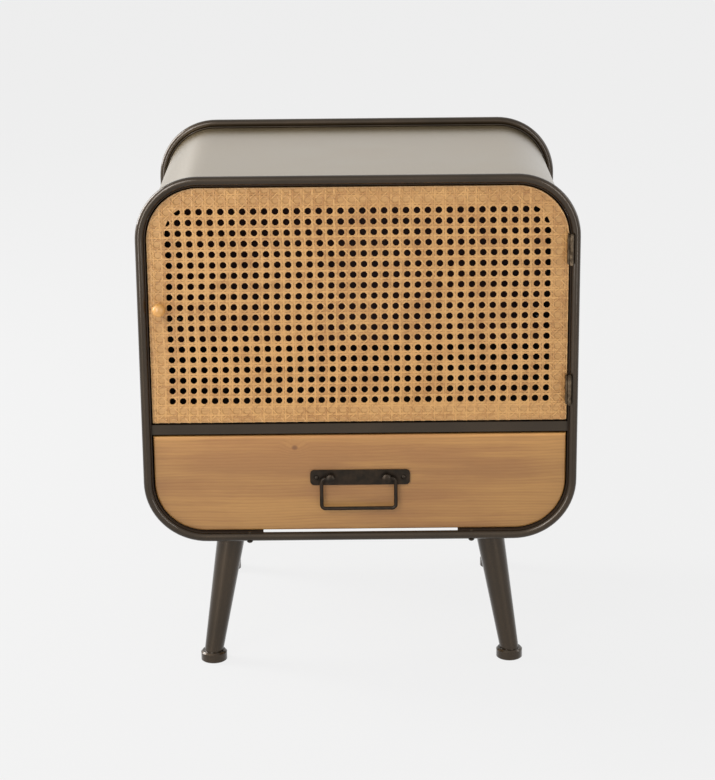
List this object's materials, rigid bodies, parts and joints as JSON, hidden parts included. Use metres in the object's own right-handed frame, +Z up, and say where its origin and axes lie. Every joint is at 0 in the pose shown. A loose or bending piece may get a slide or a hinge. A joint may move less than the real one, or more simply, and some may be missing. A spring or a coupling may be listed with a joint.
{
  "type": "storage side table",
  "caption": "Storage side table: a rolled steel body between round-bar rings on splayed tapered legs, with a hinged cane door above a fir drawer that has a swinging bail pull.",
  "frame": {"origin": "on the floor, under the middle of the table's outline seen from above, with the door knob counted in the depth", "axes": "+X to the right as seen from the front, +Y from the front to the back, +Z up"},
  "size_m": [0.52, 0.4034, 0.616],
  "materials": {
    "frame_paint": "semi-gloss gunmetal bronze",
    "shell_paint": "satin warm grey",
    "back_board": "stained board",
    "cane": "natural rattan cane",
    "door_wood": "stained, matt",
    "knob_wood": "turned, clear lacquer",
    "fir": "brushed fir, matt lacquer",
    "box_wood": "raw",
    "hinge_metal": "aged steel",
    "pull_metal": "dark bronze, semi-gloss",
    "catch_plastic": "moulded brown",
    "zinc": "zinc plated"
  },
  "bodies": {
    "cabinet": {"back_panel": "back_board", "back_panel_screws": "zinc", "back_panel_tabs": "shell_paint", "cabinet_shell": "shell_paint", "catch_screws": "zinc", "divider_panel": "shell_paint", "drawer_channel_left": "zinc", "drawer_channel_right": "zinc", "foot_front_left": "frame_paint", "foot_front_right": "frame_paint", "foot_rear_left": "frame_paint", "foot_rear_right": "frame_paint", "hinge_frame_leaf_lower": "hinge_metal", "hinge_frame_leaf_upper": "hinge_metal", "hinge_pin_lower": "hinge_metal", "hinge_pin_upper": "hinge_metal", "leg_bolts": "zinc", "leg_front_left": "frame_paint", "leg_front_right": "frame_paint", "leg_nuts": "zinc", "leg_plate_front_left": "frame_paint", "leg_plate_front_right": "frame_paint", "leg_plate_rear_left": "frame_paint", "leg_plate_rear_right": "frame_paint", "leg_rear_left": "frame_paint", "leg_rear_right": "frame_paint", "magnetic_catch": "catch_plastic", "middle_rail": "frame_paint", "ring_front": "frame_paint", "ring_rear": "frame_paint", "ring_screws": "frame_paint"},
    "door": {"cane_web": "cane", "door_frame": "door_wood", "door_knob": "knob_wood", "hinge_door_leaf_lower": "hinge_metal", "hinge_door_leaf_upper": "hinge_metal", "hinge_screws": "zinc", "knob_screw": "zinc", "strike_plate": "zinc", "strike_screw": "zinc"},
    "drawer": {"drawer_back": "box_wood", "drawer_bottom": "box_wood", "drawer_dowels": "box_wood", "drawer_front": "fir", "drawer_runner_left": "box_wood", "drawer_runner_right": "box_wood", "drawer_side_left": "box_wood", "drawer_side_right": "box_wood", "pull_plate": "pull_metal", "pull_posts": "pull_metal", "pull_screws": "pull_metal", "runner_screws": "zinc"},
    "bail": {"pull_bail": "pull_metal"}
  },
  "joints": [
    {"name": "door_hinge", "type": "hinge", "parent": "cabinet", "child": "door", "pos_m": [0.2489, -0.1921, 0.4415], "axis": [0, 0, 1], "range_deg": [0, 170]},
    {"name": "drawer_slide", "type": "slide", "parent": "cabinet", "child": "drawer", "axis": [0, -1, 0], "range_m": [0, 0.25]},
    {"name": "pull_swing", "type": "hinge", "parent": "drawer", "child": "bail", "pos_m": [-0.0018, -0.1883, 0.24675], "axis": [-1, 0, 0], "range_deg": [0, 100]}
  ]
}
